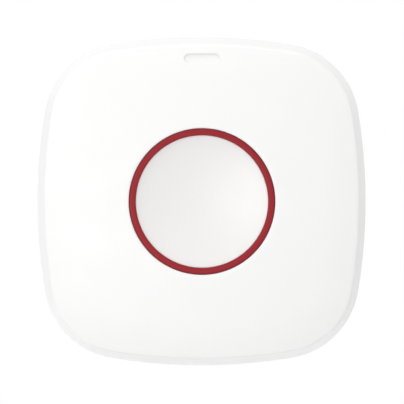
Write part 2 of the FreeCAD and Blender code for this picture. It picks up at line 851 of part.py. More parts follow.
def crystal():
    """The timing crystal in its long metal can."""
    top = board_front + crystal_height
    place = -(frame_ear_half_width + crystal_side_gap + crystal_length / 2)
    can = slot_block(crystal_length, crystal_width, board_front, top, place, collar_radius + crystal_rise)
    return can.makeChamfer(crystal_edge_chamfer, edges_above(can, top - edge_tolerance))


def antenna():
    """The stamped antenna: a strip bent up from the board at both ends, with a feed leg."""
    foot_end = antenna_half_length + antenna_foot
    bridge = [(-foot_end, board_front), (-antenna_half_length, board_front),
              (-antenna_half_length, board_front + antenna_lift),
              (antenna_half_length, board_front + antenna_lift),
              (antenna_half_length, board_front), (foot_end, board_front)]
    strip = bent_strip(bridge, antenna_sheet, antenna_width)
    feed = block(antenna_sheet, antenna_width, board_front, board_front + antenna_lift,
                 antenna_feed_place, 0)
    strip = strip.fuse(feed)
    strip.rotate(Vector(0, 0, 0), OUT, 90)
    strip.translate(Vector(board_half_width - antenna_margin - antenna_width / 2, 0, 0))
    return strip


def reservoir_capacitor():
    """The moulded capacitor that feeds the radio while it transmits."""
    return chip(reservoir_length, reservoir_width, reservoir_height, reservoir_bevel,
                frame_ear_half_width + reservoir_side_gap + reservoir_length / 2,
                collar_radius + reservoir_rise)


def chip_capacitors():
    """A row of small ceramic capacitors beside the controller."""
    pieces = []
    for number in range(capacitor_count):
        x = frame_ear_half_width + capacitor_side_gap + number * capacitor_spacing
        pieces.append(block(capacitor_width, capacitor_length, board_front,
                            board_front + capacitor_height, x, -collar_radius - capacitor_drop))
    return Part.Compound(pieces)


def battery_positive_contact():
    """The leaf that stands up from the board, presses the cell's side and hooks its edge."""
    foot = board_back - contact_thickness
    hook = coin_cell_back - contact_press_gap - contact_thickness
    press = coin_cell_radius + contact_press_gap + contact_thickness
    leaf = bent_strip([
        (coin_cell_radius + contact_foot_reach, foot), (press + contact_bow, foot),
        (press, (foot + hook) / 2), (press + contact_bow, hook),
        (coin_cell_radius - contact_hook_reach, hook)], -contact_thickness, contact_width)
    leaf.rotate(Vector(0, 0, 0), OUT, 90)
    return leaf


def battery_negative_contact():
    """The arched leaf between the cell's cap and the board."""
    foot = board_back - contact_thickness - negative_contact_gap
    crest = coin_cell_front + negative_contact_gap
    path = [(-negative_half_length, foot), (-negative_arch_half_length, foot),
            (-negative_crest_half_length, crest), (negative_crest_half_length, crest),
            (negative_arch_half_length, foot), (negative_half_length, foot)]
    return bent_strip(path, contact_thickness, contact_width)


def board_screws():
    """Two screws through the board and the inner frame into the board posts."""
    return Part.Compound([
        screw(board_screw_radius, board_screw_length, board_screw_head_radius,
              board_screw_head_height, board_back, 0, y)
        for y in (-board_screw_place, board_screw_place)])


PIECES = (
    front_cover, button_cap, button_carrier, light_window, rear_cover, wall_plate,
    inner_frame, return_spring, circuit_board, board_screws,
    switch_base, switch_terminals, switch_dome, switch_plunger, switch_cover_plate,
    indicator_led, radio_shield, radio_chip, microcontroller, crystal, antenna,
    reservoir_capacitor, chip_capacitors,
    coin_cell, battery_positive_contact, battery_negative_contact,
)

os.makedirs("parts", exist_ok=True)
for make_piece in PIECES:
    stand_up(make_piece()).exportStep("parts/" + make_piece.__name__ + ".step")
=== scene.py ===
# %% [markdown]
# A wireless panic button, dressed around its imported model
#
# The imported model holds every piece at its real size. This file gives the pieces that
# show their finish. It first loads the model as a fixed frame and reads the boxes of
# its pieces.

import json
import math

import bmesh
import bpy
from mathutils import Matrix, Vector


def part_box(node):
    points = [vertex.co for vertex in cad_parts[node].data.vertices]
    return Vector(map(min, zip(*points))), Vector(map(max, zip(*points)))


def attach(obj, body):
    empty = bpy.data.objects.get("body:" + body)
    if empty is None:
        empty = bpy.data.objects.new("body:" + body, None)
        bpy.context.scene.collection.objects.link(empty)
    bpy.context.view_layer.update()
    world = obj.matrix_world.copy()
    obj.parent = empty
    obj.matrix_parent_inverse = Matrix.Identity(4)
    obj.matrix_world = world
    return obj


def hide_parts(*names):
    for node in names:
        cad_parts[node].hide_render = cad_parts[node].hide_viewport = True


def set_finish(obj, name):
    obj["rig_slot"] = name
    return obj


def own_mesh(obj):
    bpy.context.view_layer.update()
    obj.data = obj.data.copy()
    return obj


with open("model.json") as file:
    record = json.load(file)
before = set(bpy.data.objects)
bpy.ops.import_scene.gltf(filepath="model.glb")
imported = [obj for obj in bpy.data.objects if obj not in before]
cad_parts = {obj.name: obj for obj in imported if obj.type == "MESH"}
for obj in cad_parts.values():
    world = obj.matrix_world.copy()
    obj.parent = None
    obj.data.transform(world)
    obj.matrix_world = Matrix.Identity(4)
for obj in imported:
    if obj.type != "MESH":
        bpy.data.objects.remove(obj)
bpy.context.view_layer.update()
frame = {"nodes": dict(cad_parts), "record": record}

# %% [markdown]
# Sizes
#
# Everything is thought of as lying on its back: x is across, z is up the wall, and depth
# is how far a point stands out of the wall. Sizes are in millimetres, as on a drawing,
# and at() turns them into the frame's metres. The housing's width and its gap to the wall
# come from the frame's own box.

# %% Sizes read from the frame
MM = 0.001

cover_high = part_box("front_cover")[1]
half_width = round(cover_high.x / MM, 2)
wall_gap = round(-cover_high.y / MM, 2)
print("half width", half_width, "mm, gap to the wall", wall_gap, "mm")


def at(x, z, depth):
    """A point in the frame, from millimetres across, up and out of the wall."""
    return Vector((x * MM, -depth * MM, z * MM))


def around(angle, distance, depth):
    """A point in the frame, from an angle and a distance round the axis and a depth."""
    return at(distance * math.cos(angle), distance * math.sin(angle), depth)


# %% Sizes of the housing
side_bow_radius = 102.5
corner_radius = 15.2
side_flare = 1.5
crease_round = 0.35
cover_wall = 1.8
half_wall = cover_wall / 2
crown_radius = 240.0
roll_width = 8.5
roll_radius = 55.0

# %% Sizes of the button and its ring
bore_radius = 13.75
bore_round = 0.28
collar_wall = 1.85
collar_outer = bore_radius + collar_wall
collar_middle = bore_radius + collar_wall / 2
collar_back = 13.95
ring_outer = 13.67
ring_inner = 12.49
ring_front = 17.54
ring_edge_round = 0.18
carrier_floor_front = 15.1
carrier_floor_back = 14.0
cap_radius = 12.46
cap_rim = 17.12
cap_rim_round = 0.08
cap_dish_depth = 1.3

# %% [markdown]
# The housing's outline
#
# Seen from the front the housing is a square with four bowed sides and four round
# corners. Moved inwards, each arc keeps its centre and only its radius shrinks, so one
# function gives the outline at any inset: it looks along an angle from the button's axis
# and returns the distance to the arc that it meets there.
#
# The front is part of a large ball, so its depth depends on the distance from the axis.
# Near the outline it rolls off a little more, by an amount that depends on the inset, and
# this is what darkens the right and lower edges in the photograph. Where the front meets
# the flared side there is a crisp crease. It is found by trying a distance, reading the
# depth there, and correcting the distance a few times.

# %% Outline
side_centre = half_width - side_bow_radius
corner_centre = (side_centre + math.sqrt(2 * (side_bow_radius - corner_radius) ** 2 - side_centre ** 2)) / 2
meeting_angle = math.atan2(corner_centre, corner_centre - side_centre)


def folded(angle):
    """The matching angle in the first eighth of a turn: the outline repeats eight times."""
    return abs((angle + math.pi / 4) % (math.pi / 2) - math.pi / 4)


def outline_distance(angle, inset):
    """Distance from the axis to the outline moved in by inset, along an angle."""
    side = side_bow_radius - inset
    meeting_x = side_centre + side * math.cos(meeting_angle)
    meeting_z = side * math.sin(meeting_angle)
    if folded(angle) < math.atan2(meeting_z, meeting_x):
        centre = (side_centre, 0.0)
        radius = side
    else:
        centre = (corner_centre, corner_centre)
        radius = corner_radius - inset
    along = centre[0] * math.cos(folded(angle)) + centre[1] * math.sin(folded(angle))
    return along + math.sqrt(along ** 2 - centre[0] ** 2 - centre[1] ** 2 + radius ** 2)


def inset_at(angle, distance):
    """Inset of the point at a distance along an angle, measured from the outline."""
    x = distance * math.cos(folded(angle))
    z = distance * math.sin(folded(angle))
    if math.atan2(z, x - side_centre) < meeting_angle:
        return side_bow_radius - math.hypot(x - side_centre, z)
    return corner_radius - math.hypot(x - corner_centre, z - corner_centre)


# %% Crown, flare and crease
ring_sink = 0.05
crown_centre = ring_front + ring_sink - math.sqrt(crown_radius ** 2 - bore_radius ** 2)
crease_side_depth = crown_centre + math.sqrt(crown_radius ** 2 - (half_width - side_flare) ** 2)
flare_slope = side_flare / (crease_side_depth - wall_gap)
crease_tries = 4


def crown_depth(distance, wall=0.0):
    """Depth of the crowned front, or of its inside under a wall, at a distance."""
    return crown_centre + math.sqrt((crown_radius - wall) ** 2 - distance ** 2)


def front_depth(angle, distance):
    """Depth of the front with its rolled edge, at a distance along an angle."""
    into_roll = max(0.0, roll_width - inset_at(angle, distance))
    return crown_depth(distance) - roll_radius + math.sqrt(roll_radius ** 2 - into_roll ** 2)


def side_point(angle, depth, wall=0.0):
    """Distance and depth of a point of the flared side, or of its inside under a wall."""
    return (outline_distance(angle, wall + flare_slope * (depth - wall_gap)), depth)


def crease_distance(angle, wall=0.0):
    """Distance to where the front and the flared side meet, or their insides under a wall."""
    distance = half_width - side_flare - wall
    for _ in range(crease_tries):
        depth = crown_depth(distance, wall) if wall else front_depth(angle, distance)
        distance, _ = side_point(angle, depth, wall)
    return distance


print("housing depth at the crown", round(crown_centre + crown_radius, 2), "mm")
print("crease at a side", round(crease_distance(0), 2))
print("crease at a corner", round(crease_distance(math.pi / 4), 2))

# %% [markdown]
# Sweeping a section round the axis
#
# A lathe turns one section about an axis. Most pieces here are turned, and the housing
# nearly is: its section only stretches as it goes round the corners. So one helper does
# both. It asks for the section at each angle, lays the points down in rows and joins
# neighbouring rows with quads. A closed section gives a ring-shaped solid, and a section
# that starts and ends on the axis gives a full one.
#
# The same net of quads serves for prisms and wires. Those aren't closed to a ring, so a
# face is put on each end.
#
# Edges are rounded in the section itself. An arc that is pulled by its corner point, a
# rational curve with the right weight, is a true circular fillet, so it catches the
# light as a moulded edge does.

# %% Section helpers
def spread(start, end, count, first=0):
    """Values from start to end in even steps; with first=1 the start is left out."""
    return [start + (end - start) * number / count for number in range(first, count + 1)]


def fillet(before, corner, after, steps=6):
    """Points of a circular arc from before to after, tangent to the lines to the corner."""
    first = Vector(before) - Vector(corner)
    last = Vector(after) - Vector(corner)
    weight = math.sin(first.angle(last) / 2)
    points = []
    for share in spread(0.0, 1.0, steps):
        keep_first = (1 - share) ** 2
        keep_corner = 2 * weight * share * (1 - share)
        keep_last = share ** 2
        point = Vector(before) * keep_first + Vector(corner) * keep_corner + Vector(after) * keep_last
        points.append(tuple(point / (keep_first + keep_corner + keep_last)))
    return points


def rounded(corners, steps=5):
    """A section's points, from corners that each give a distance, a depth and a radius."""
    points = [Vector(corner[:2]) for corner in corners]
    result = []
    for number, (distance, depth, radius) in enumerate(corners):
        if not radius:
            result.append((distance, depth))
            continue
        corner = points[number]
        back = points[number - 1] - corner
        ahead = points[(number + 1) % len(points)] - corner
        reach = radius * math.tan((math.pi - back.angle(ahead)) / 2)
        before = corner + back.normalized() * reach
        after = corner + ahead.normalized() * reach
        result += fillet(before, corner, after, steps)
    return result


# %% Mesh helpers
STEPS_ROUND = 360
CRISP_FROM = 32.0


def new_object(name, data):
    """A new object in the scene."""
    made = bpy.data.objects.new(name, data)
    bpy.context.scene.collection.objects.link(made)
    return made


def finish_mesh(name, mesh, crisp_from=CRISP_FROM):
    """A smooth-shaded object, faces outwards, with corners crisp from an angle in degrees."""
    work = bmesh.new()
    work.from_mesh(mesh)
    bmesh.ops.remove_doubles(work, verts=work.verts, dist=1e-7)
    bmesh.ops.dissolve_degenerate(work, edges=work.edges, dist=1e-8)
    bmesh.ops.recalc_face_normals(work, faces=work.faces)
    work.to_mesh(mesh)
    work.free()
    mesh.shade_smooth()
    mesh.set_sharp_from_angle(angle=math.radians(crisp_from))
    mesh.name = name
    return new_object(name, mesh)


def netted(name, rows, ring=False, closed=True, crisp_from=CRISP_FROM):
    """A solid from rows of points: a ring of rows, or a stack of them with closed ends."""
    columns = len(rows[0])
    vertices = [point for row in rows for point in row]
    last = len(vertices) - 1
    faces = [] if ring else [tuple(range(columns)), tuple(range(last, last - columns, -1))]
    for number in range(len(rows) if ring else len(rows) - 1):
        here = number * columns
        there = (number + 1) % len(rows) * columns
        for column in range(columns if closed else columns - 1):
            after = (column + 1) % columns
            faces.append((here + column, here + after, there + after, there + column))
    mesh = bpy.data.meshes.new(name)
    mesh.from_pydata(vertices, [], faces)
    return finish_mesh(name, mesh, crisp_from)


def swept(name, section, closed=False, steps=STEPS_ROUND):
    """A solid swept round the button's axis from the section at each angle."""
    angles = [2 * math.pi * number / steps for number in range(steps)]
    rows = [[around(angle, distance, depth) for distance, depth in section(angle)] for angle in angles]
    return netted(name, rows, ring=True, closed=closed)


def prism(name, outline, back, front):
    """A solid pushed out of the wall from an outline."""
    return netted(name, [[at(x, z, depth) for x, z in outline] for depth in (back, front)])


# %% Outlines
def rectangle(width, height, x=0.0, z=0.0):
    """Corners of a rectangle centred on a point."""
    return [(x + side_x * width / 2, z + side_z * height / 2)
            for side_x, side_z in ((-1, -1), (1, -1), (1, 1), (-1, 1))]


def circle(radius, x=0.0, z=0.0, steps=96):
    """Points of a circle."""
    angles = spread(0.0, 2 * math.pi, steps, first=1)
    return [(x + radius * math.cos(angle), z + radius * math.sin(angle)) for angle in angles]


def stadium(length, width, x=0.0, z=0.0, upright=False, steps=20):
    """Points of an outline with two straight sides and two half-round ends."""
    straight = (length - width) / 2
    points = []
    for side in (1, -1):
        for share in spread(-0.5, 0.5, steps):
            along = side * (straight + width / 2 * math.cos(math.pi * share))
            across = side * width / 2 * math.sin(math.pi * share)
            points.append((x - across, z + along) if upright else (x + along, z + across))
    return points


def turned(outline, degrees):
    """An outline turned round the button's axis."""
    cosine = math.cos(math.radians(degrees))
    sine = math.sin(math.radians(degrees))
    return [(x * cosine - z * sine, x * sine + z * cosine) for x, z in outline]


def thirds(start):
    """Three directions in degrees, evenly spaced round the axis."""
    return [start + 120 * number for number in range(3)]


def block(name, size, centre, depths, degrees=0):
    """A box-shaped solid at a centre, from its back to its front, turned round the axis."""
    return prism(name, turned(rectangle(*size, *centre), degrees), *depths)


# %% [markdown]
# Adding and cutting
#
# Bosses, ribs and holes are small solids that are added to a piece or cut from it, as in
# any solid modeller. Blender's Boolean modifier does this. Its manifold solver is quick
# and exact, but it wants closed solids, and all of these are. The result is read back as
# a plain mesh, so that nothing is left to work out later.
#
# Two faces in one plane are where such a solver slips. So an added solid starts inside
# the piece that it joins, and a cutter runs past the surface that it goes through, by a
# hair only where something else stands close behind.

# %% Solid helpers
JOIN = 0.5
PAST = 1.0
HAIR = 0.01


def combine(name, piece, others, operation):
    """The piece combined with the others by the given operation, as a new plain mesh."""
    for other in others:
        step = piece.modifiers.new("solid", "BOOLEAN")
        step.operation = operation
        step.solver = "MANIFOLD"
        step.object = other
    bpy.context.view_layer.update()
    result = bpy.data.meshes.new_from_object(piece.evaluated_get(bpy.context.evaluated_depsgraph_get()))
    for used in (piece, *others):
        bpy.data.objects.remove(used)
    return finish_mesh(name, result)


def added(piece, *others):
    """The piece with other solids fused to it."""
    return combine(piece.name, piece, others, "UNION")


def cut(piece, *others):
    """The piece with other solids cut from it."""
    return combine(piece.name, piece, others, "DIFFERENCE")


def settle(piece, body, material_slot, *nodes):
    """Names the body that carries a finished piece and the nodes that it stands for."""
    weighting = piece.modifiers.new("weighted normals", "WEIGHTED_NORMAL")
    weighting.keep_sharp = True
    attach(piece, body)
    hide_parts(*nodes)
    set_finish(piece, material_slot)
    print(piece.name, "has", len(piece.data.polygons), "faces")
    return piece


# %% [markdown]
# The white shell
#
# The shell is one moulding: crowned front, flared side, a round bore for the button with
# a guide collar behind it, and the slot for the indicator. A subdivided box could be
# bent to this form, but its corners would only be near the real arcs. Sweeping the true
# section round the axis gives the crease, the lip and the mouth of the bore exactly, and
# the thickness of the wall comes with it.

# %% Section of the shell
lip_round = 0.2
lip_steps = 3
mouth_steps = 4
crown_rings = 26
side_rings = 6
inner_crown_rings = 8
inner_side_rings = 4


def shell_outside(angle):
    """The section from the lip up the side, over the front and down into the bore."""
    corner = crease_distance(angle)
    corner_depth = front_depth(angle, corner)
    low_depth = corner_depth - crease_round
    before = corner - crease_round
    points = rounded([(*side_point(angle, wall_gap, cover_wall), lip_round),
                      (*side_point(angle, wall_gap), lip_round),
                      (*side_point(angle, low_depth), 0)], lip_steps)[:-1]
    for depth in spread(wall_gap + 2 * lip_round, low_depth, side_rings)[:-1]:
        points.append(side_point(angle, depth))
    points += fillet(side_point(angle, low_depth), (corner, corner_depth),
                     (before, front_depth(angle, before)))
    mouth = bore_radius + bore_round
    support = 2 * crease_round
    for distance in [before - support / 2] + spread(before - support, mouth + support, crown_rings):
        points.append((distance, front_depth(angle, distance)))
    return points + fillet((mouth, crown_depth(mouth)), (bore_radius, crown_depth(bore_radius)),
                           (bore_radius, crown_depth(mouth) - bore_round), mouth_steps)


def shell_inside(angle):
    """The section from the collar along the inside of the front and the side to the lip."""
    corner = crease_distance(angle, cover_wall)
    points = [(distance, crown_depth(distance, cover_wall))
              for distance in spread(collar_outer, corner, inner_crown_rings)]
    for depth in spread(crown_depth(corner, cover_wall), wall_gap + lip_round, inner_side_rings, first=1):
        points.append(side_point(angle, depth, cover_wall))
    return points


def shell_section(angle):
    """The shell's closed section at one angle."""
    collar_end = [(bore_radius, collar_back), (collar_outer, collar_back)]
    return shell_outside(angle) + collar_end + shell_inside(angle)


shell = swept("cover_shell", shell_section, closed=True)
print("points in the shell's section:", len(shell_section(0)))

# %% [markdown]
# Behind the shell's front stand its ribs, the two posts for the board screws, four stops
# and four ledges that the rear cover snaps between, and three short ribs that keep the
# button from turning. They are made too long and then cut back to a core, a full solid
# whose skin runs through the middle of the shell's wall. So each one ends inside the wall
# that it stands on, adding it leaves no seam, and nothing comes through to the outside.
# The ledges show from behind, round the wall plate.

# %% Core of the shell
core_rings = 12


def core_section(angle):
    """Section of a full solid that ends in the middle of the shell's wall."""
    corner = crease_distance(angle, half_wall)
    front = [(distance, crown_depth(distance, half_wall))
             for distance in spread(corner, 0.0, core_rings)]
    return [(0.0, wall_gap), side_point(angle, wall_gap, half_wall)] + front


# %% Ribs and posts
inner_pieces_front = 16.0
rib_thickness = 1.0
rib_back = 14.25
post_place = 19.5
post_radius = 2.5
post_back = 10.6
rib_depths = (rib_back, inner_pieces_front)
side_rib_length = half_width - collar_middle
post_rib_length = post_place - collar_middle


def ribs_and_post(side):
    """The rib towards a side wall, and the post above or below with the rib towards it."""
    side_rib_middle = side * (half_width + collar_middle) / 2
    post_rib_middle = side * (post_place + collar_middle) / 2
    post = circle(post_radius, 0, side * post_place, 48)
    return [block("rib", (side_rib_length, rib_thickness), (side_rib_middle, 0), rib_depths),
            block("rib", (rib_thickness, post_rib_length), (0, post_rib_middle), rib_depths),
            prism("post", post, post_back, inner_pieces_front)]


# %% Ledges and stops
ledge_offset = 11.0
ledge_width = 7.0
ledge_back = 1.2
ledge_front = 2.1
ledge_reach = 0.9
stop_offset = 10.0
stop_width = 1.5
stop_reach = 0.85
stop_back = 6.2


def on_side_wall(reach, depth):
    """Thickness and place of a block that reaches inwards from the middle of a side wall."""
    thickness = reach + half_wall
    inner_wall, _ = side_point(0, depth, cover_wall)
    return thickness, inner_wall - reach + thickness / 2


def ledge_and_stop(side, place):
    """A ledge on the upper or lower wall and a stop on the wall at the right or left."""
    ledge_thickness, ledge_middle = on_side_wall(ledge_reach, ledge_back)
    stop_thickness, stop_middle = on_side_wall(stop_reach, stop_back)
    return [block("ledge", (ledge_width, ledge_thickness), (place * ledge_offset, side * ledge_middle),
                  (ledge_back, ledge_front)),
            block("stop", (stop_thickness, stop_width), (side * stop_middle, place * stop_offset),
                  (stop_back, inner_pieces_front))]


# %% Guide ribs
guide_gap = 0.56
guide_inner = bore_radius + guide_gap
guide_outer = collar_outer - 0.05
guide_width = 2.6
guide_back = 12.65
guide_directions = thirds(90)


def guide(degrees):
    """A short rib in the collar that keeps the button from turning."""
    return block("guide", (guide_outer - guide_inner, guide_width), ((guide_inner + guide_outer) / 2, 0),
                 (guide_back, collar_back + JOIN), degrees)


# %% Inner pieces added to the shell
pilot_radius = 1.02
pilot_front = 15.7

extras = []
for side in (-1, 1):
    extras += ribs_and_post(side)
    for place in (-1, 1):
        extras += ledge_and_stop(side, place)
extras += [guide(degrees) for degrees in guide_directions]
inner_pieces = combine("inner pieces", added(*extras), [swept("core", core_section)], "INTERSECT")
shell = added(shell, inner_pieces)
pilots = [prism("pilot", circle(pilot_radius, 0, side * post_place, 32), post_back - PAST, pilot_front)
          for side in (-1, 1)]
shell = cut(shell, *pilots)
print("shell's inside pieces:", len(extras))

# %% [markdown]
# The slot is a stadium: two straight sides with half-round ends. It goes right through
# the front. Its mouth is rounded, and the round turns away from the light along the top
# and at the left end, so those show as a thin grey line while the rest stays white. The
# cutter is a stack of stadiums that widens over the last part and follows the front.
# Each level of the stack says how far the stadium is moved inwards and how far it stands
# over the front.

# %% Slot in the shell
window_from_edge = 4.1
window_place = half_width - window_from_edge
window_length = 6.6
window_width = 1.7
slot_depth = 4.0
mouth_round = 0.16
slot_levels = [(0.0, -slot_depth), (0.0, -mouth_round), (-0.02, -0.08), (-0.06, -0.025),
               (-mouth_round, 0.02), (-mouth_round, PAST)]


def stadium_stack(name, length, width, levels):
    """A solid through stadium outlines at the slot, each at its level over the front."""
    rows = []
    for inset, rise in levels:
        outline = stadium(length - 2 * inset, width - 2 * inset, 0, window_place)
        rows.append([at(x, z, front_depth(math.atan2(z, x), math.hypot(x, z)) + rise) for x, z in outline])
    return netted(name, rows)


shell = cut(shell, stadium_stack("slot", window_length, window_width, slot_levels))
settle(shell, "housing", "white_shell", "front_cover")

# %% [markdown]
# The indicator window
#
# The window is a milky moulding: a head in the slot, a flange behind the front wall and
# a light pipe down to the lamp. Only the head shows. It fills the slot, a third of a
# millimetre below the front.

# %% Window
window_gap = 0.005
window_sink = 0.33
head_round = 0.02
head_depth = 3.2
head_size = (window_length - 2 * window_gap, window_width - 2 * window_gap)
head_levels = [(0.0, -head_depth)] + fillet((0.0, -window_sink - head_round), (0.0, -window_sink),
                                            (head_round, -window_sink), 3)
window_head = stadium_stack("window_lens", *head_size, head_levels)

small_step = 0.1
back_flange_length = 9.2
back_flange_thickness = 0.8
back_flange_drop = 0.12
back_flange_front = crown_depth(window_place + window_width / 2) - cover_wall - small_step
flange_outline = stadium(back_flange_length, head_size[1], 0, window_place - back_flange_drop)
window_flange = prism("flange", flange_outline, back_flange_front - back_flange_thickness, back_flange_front)

pipe_size = (4.6, 1.3)
pipe_drop = 0.26
pipe_back = 9.0
pipe = block("pipe", pipe_size, (0, window_place - pipe_drop), (pipe_back, back_flange_front - small_step))

window = settle(added(window_head, window_flange, pipe), "housing", "clear_window", "light_window")

# %% [markdown]
# The red ring
#
# The ring is the rim of one red moulding that carries the white cap. Its outer and inner
# edges are rounded, so that light runs round it as a thin line. Behind the front it has
# a stop flange, a spigot that centres the spring and a post that pushes the switch: all
# of these are turned, and only the notches and the hook slots are cut.

# %% Section of the carrier
flange_radius = 15.3
flange_front = 13.9
flange_back = 13.1
flange_round = 0.1
spigot_outer = 6.85
spigot_inner = 5.45
spigot_back = 12.9
spigot_round = 0.2
pusher_radius = 2.2
pusher_back = 13.52

carrier_section = rounded([
    (0, carrier_floor_front, 0),
    (ring_inner, carrier_floor_front, 0),
    (ring_inner, ring_front, ring_edge_round / 2),
    (ring_outer, ring_front, ring_edge_round),
    (ring_outer, flange_front, 0),
    (flange_radius, flange_front, flange_round),
    (flange_radius, flange_back, flange_round),
    (ring_inner, flange_back, flange_round),
    (ring_inner, carrier_floor_back, 0),
    (spigot_outer, carrier_floor_back, 0),
    (spigot_outer, spigot_back, spigot_round),
    (spigot_inner, spigot_back, spigot_round),
    (spigot_inner, carrier_floor_back, 0),
    (pusher_radius, carrier_floor_back, 0),
    (pusher_radius, pusher_back, spigot_round),
    (0, pusher_back, 0)])

# %% Carrier with its ring
notch_clearance = 0.25
notch_size = (3.0, guide_width + 2 * notch_clearance)
notch_centre = (15.45, 0)
notch_depths = (flange_back - PAST, flange_front + HAIR)
hook_slot_size = (1.7, 3.3)
hook_slot_centre = (10.0, 0)
hook_slot_depths = (carrier_floor_back - PAST, carrier_floor_front + PAST)
hook_directions = thirds(30)

cutters = []
for toward_guide, toward_hook in zip(guide_directions, hook_directions):
    cutters += [block("notch", notch_size, notch_centre, notch_depths, toward_guide),
                block("hook slot", hook_slot_size, hook_slot_centre, hook_slot_depths, toward_hook)]
carrier = cut(swept("red_carrier", lambda angle: carrier_section), *cutters)
settle(carrier, "button", "red_plastic", "button_carrier")

# %% [markdown]
# The white cap
#
# The cap is what the thumb finds: a disc dished by a little over a millimetre. The dish
# is part of a large ball, so it is drawn as one arc in the section, with many short
# steps, and the rim is a small fillet. Three hooks behind it snap through the carrier's
# floor.

# %% Dished disc
dish_edge = cap_radius - cap_rim_round
dish_radius = (dish_edge ** 2 + cap_dish_depth ** 2) / (2 * cap_dish_depth)
dish_bottom = cap_rim - cap_dish_depth
dish_rings = 28
dish_end = dish_edge - 0.1
rim_start = dish_edge - 0.05
rim_corner = (cap_radius, cap_rim + 0.02)


def dish_depth(distance):
    """Depth of the dish at a distance from the axis."""
    return dish_bottom + dish_radius - math.sqrt(dish_radius ** 2 - distance ** 2)


cap_section = [(distance, dish_depth(distance)) for distance in spread(0.0, dish_end, dish_rings)]
cap_section += fillet((rim_start, dish_depth(rim_start)), rim_corner, (cap_radius, cap_rim - cap_rim_round))
cap_section += [(cap_radius, carrier_floor_front), (0, carrier_floor_front)]
disc = swept("dished_cap", lambda angle: cap_section)

# %% Hooks of the cap
hook_distance = 9.8
hook_width = 3.0
hook_thickness = 1.0
barb_reach = 0.4
barb_root = 0.2
barb_middle = hook_distance + hook_thickness / 2 + (barb_reach - barb_root) / 2
barb_front = carrier_floor_back - 0.02
hook_end = barb_front - 0.5
barb_back = hook_end + 0.2


def hook_of_cap(degrees):
    """A hook's stem, which goes through the floor, and its barb, which grips behind it."""
    return [block("stem", (hook_thickness, hook_width), (hook_distance, 0),
                  (hook_end, carrier_floor_front + JOIN), degrees),
            block("barb", (barb_reach + barb_root, hook_width), (barb_middle, 0),
                  (barb_back, barb_front), degrees)]


cap = added(disc, *[solid for degrees in hook_directions for solid in hook_of_cap(degrees)])
settle(cap, "button", "white_cap", "button_cap")

# %% [markdown]
# The return spring and the snap dome
#
# Two pieces change their shape when the button goes down: the coil spring closes up, and
# the dome in the switch is pushed flat. The imported model's own solids keep their shape,
# so both are made again here, each with a mesh of its own. The spring is a wire drawn
# along a helix. Its first and last half turns lie flat, as closed ends do, and the rise
# between them starts and ends gently.

# %% Return spring
spring_low, spring_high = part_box("return_spring")
spring_back = -spring_high.y / MM
spring_front = -spring_low.y / MM
coil_height = spring_front - spring_back
wire_radius = 0.25
wire_sides = 12
spring_radius = spring_high.x / MM - wire_radius
spring_turns = 2.5
flat_turns = 0.5
steps_in_turn = 56


def spring_rise(turn):
    """Share of the spring's height reached at a turn: none over the flat end turns."""
    share = min(1.0, max(0.0, (turn - flat_turns) / (spring_turns - 2 * flat_turns)))
    return share * share * (3 - 2 * share)


def wire_row(turn):
    """The points round the wire at a turn of the spring."""
    middle = spring_back + wire_radius + spring_rise(turn) * (coil_height - 2 * wire_radius)
    return [around(2 * math.pi * turn, distance, depth)
            for distance, depth in circle(wire_radius, spring_radius, middle, wire_sides)]


wire_rows = [wire_row(number / steps_in_turn) for number in range(round(spring_turns * steps_in_turn) + 1)]
coil = netted("return_coil", wire_rows, crisp_from=50.0)
settle(coil, "housing", "spring_steel", "return_spring")
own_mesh(coil)

# %% Snap dome
dome_low, dome_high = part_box("switch_dome")
dome_back = -dome_high.y / MM
dome_rise = -dome_low.y / MM - dome_back
dome_rim = dome_high.x / MM
dome_thickness = 0.12
dome_rings = 12
dome_ball = (dome_rim ** 2 + dome_rise ** 2) / (2 * dome_rise)
dome_inner_ball = dome_ball - dome_thickness
dome_centre = dome_back + dome_rise - dome_ball
dome_inner_rim = math.sqrt(dome_inner_ball ** 2 - (dome_back - dome_centre) ** 2)


def ball_arc(radius, start, end):
    """Points on a ball about the dome's centre, between two distances from the axis."""
    return [(distance, dome_centre + math.sqrt(radius ** 2 - distance ** 2))
            for distance in spread(start, end, dome_rings)]


dome_section = ball_arc(dome_ball, 0.0, dome_rim) + ball_arc(dome_inner_ball, dome_inner_rim, 0.0)
dome = swept("snap_dome", lambda angle: dome_section, steps=72)
settle(dome, "housing", "spring_steel", "switch_dome")
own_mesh(dome)

# %% [markdown]
# The back of the unit
#
# Turned over, the unit shows the rear cover, sunk into the shell, and the wall plate on
# it. The rear cover has a rim, two pockets over the wall screws, four slots for the wall
# plate's hooks and the round bay of the coin cell. The wall plate is flat, with two
# screw holes and four hooks that point up.

# %% Section of the rear cover
cover_fit = cover_wall + 0.15
rear_back = 2.2
rear_front = 3.7
rear_round = 0.15
floor_round = 0.3
rim_front = 6.2
rim_width = 1.2


def rear_section(angle):
    """The rear cover's section at one angle: its floor and its rim."""
    rim_inside = cover_fit + rim_width
    return rounded([(0, rear_back, 0),
                    (*side_point(angle, rear_back, cover_fit), rear_round),
                    (*side_point(angle, rim_front, cover_fit), rear_round),
                    (*side_point(angle, rim_front, rim_inside), rear_round),
                    (*side_point(angle, rear_front, rim_inside), floor_round),
                    (0, rear_front, 0)], lip_steps)


# %% Battery bay and pockets
raised_back = rear_back + 0.4
bay_radius = 10.25
bay_wall = 1.2
bay_front = 6.4
screw_offset = 18.0
pocket_front = 4.6
pocket_radius = 4.4
pocket_wall = 1.0
release_travel = 3.5


def pocket(name, x, radius, back, front):
    """A solid over a wall screw's head, as long as the unit's way up the wall needs."""
    outline = stadium(2 * radius + release_travel, 2 * radius, x, -release_travel / 2, upright=True)
    return prism(name, outline, back, front)


